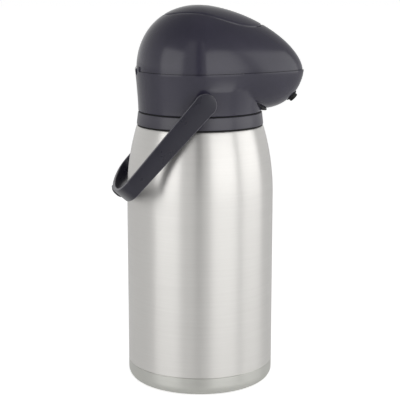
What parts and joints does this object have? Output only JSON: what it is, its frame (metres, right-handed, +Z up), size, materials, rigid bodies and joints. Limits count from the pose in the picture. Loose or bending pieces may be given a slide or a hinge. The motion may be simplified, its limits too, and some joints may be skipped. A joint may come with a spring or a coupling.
{
  "type": "thermal pump airpot",
  "caption": "Steel vacuum airpot with a beaked plastic head, a hinged lid, a press pad that works a bellows pump, and a swinging carry handle.",
  "frame": {"origin": "centre of the flat underside, on the body's axis", "axes": "+Z up, +X towards the spout, Y along the handle's pivots"},
  "size_m": [0.1787, 0.137, 0.3501],
  "materials": {
    "steel": "brushed",
    "base_steel": "brushed",
    "inner_steel": "satin",
    "pin_steel": "satin",
    "head_plastic": "glossy",
    "handle_plastic": "satin",
    "inner_plastic": "moulded",
    "black_plastic": "moulded",
    "clear_tube": "translucent",
    "seal_rubber": "soft"
  },
  "bodies": {
    "pot": {"outer_shell": "steel", "base_cup": "base_steel", "base_pad": "seal_rubber", "inner_bottle": "inner_steel", "bottle_spacer": "inner_plastic", "vacuum_seal": "inner_steel", "neck_gasket": "seal_rubber", "neck_ring": "head_plastic", "collar_gasket": "seal_rubber", "head_base": "head_plastic", "filling_well": "inner_plastic", "stopper": "inner_plastic", "stopper_seal": "seal_rubber", "dip_tube": "clear_tube", "dip_tube_foot": "inner_plastic", "pump_housing": "inner_plastic", "elbow": "inner_plastic", "outlet_tube": "clear_tube", "nozzle": "black_plastic", "nozzle_grommet": "seal_rubber", "beak_rib": "black_plastic", "hinge_pin": "pin_steel", "handle_studs": "handle_plastic"},
    "lid": {"lid_shell": "head_plastic", "lid_plate": "inner_plastic", "lid_screws": "pin_steel", "hinge_leaf": "head_plastic", "bellows_base": "inner_plastic", "pump_gasket": "seal_rubber", "valve_flap": "seal_rubber", "bellows": "seal_rubber", "return_spring": "pin_steel", "pad_pin": "pin_steel"},
    "pad": {"press_pad": "head_plastic"},
    "pump_rod": {"plunger": "inner_plastic"},
    "bail": {"handle": "handle_plastic", "grip_pad": "handle_plastic"}
  },
  "joints": [
    {"name": "lid_hinge", "type": "hinge", "parent": "pot", "child": "lid", "pos_m": [-0.0555, 0, 0.2914], "axis": [0, -1, 0], "range_deg": [0, 95]},
    {"name": "pad_press", "type": "hinge", "parent": "lid", "child": "pad", "pos_m": [0.053, 0, 0.322], "axis": [0, -1, 0], "range_deg": [0, 14]},
    {"name": "plunger_slide", "type": "slide", "parent": "lid", "child": "pump_rod", "axis": [0, 0, -1], "range_m": [0, 0.0129], "stiffness_N_per_m": 150, "springref_m": -0.005, "deforming": ["bellows", "return_spring"]},
    {"name": "handle_swing", "type": "hinge", "parent": "pot", "child": "bail", "pos_m": [0, 0, 0.266], "axis": [0, 1, 0], "range_deg": [0, 277]}
  ],
  "couplings": [
    {"joint": "pad_press", "follows": "plunger_slide", "rad_per_m": 18.868}
  ]
}
